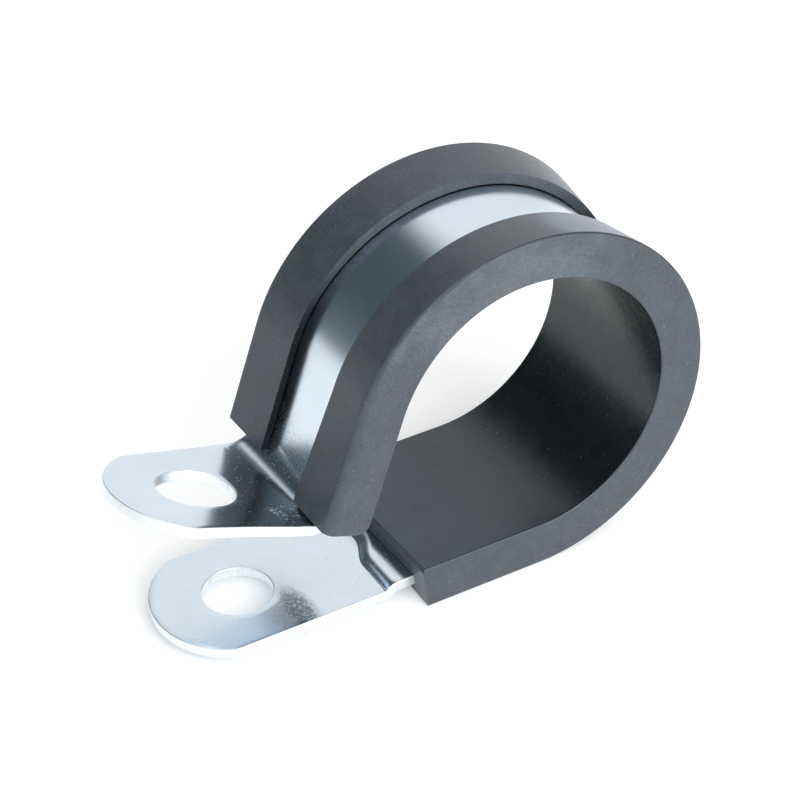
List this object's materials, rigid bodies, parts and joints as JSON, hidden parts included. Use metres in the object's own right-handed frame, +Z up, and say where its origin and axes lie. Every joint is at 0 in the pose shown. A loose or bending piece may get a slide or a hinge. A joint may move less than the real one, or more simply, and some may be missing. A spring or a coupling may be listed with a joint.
{
  "type": "p clip",
  "caption": "Cushioned P clip: a bent zinc-plated steel strip with a pierced ear at each end, its loop lined with a black rubber channel that grips a cable.",
  "frame": {"origin": "centre of the cable space, on the cable's axis and midway along the strip's width", "axes": "+Y along the cable's axis, +Z up from the lower ear towards the top of the loop, -X towards the ears"},
  "size_m": [0.0538, 0.0178, 0.0345],
  "materials": {
    "steel": "bright zinc plate",
    "rubber": "matt"
  },
  "bodies": {
    "root": {"steel_band": "steel", "rubber_lining": "rubber"}
  },
  "joints": []
}
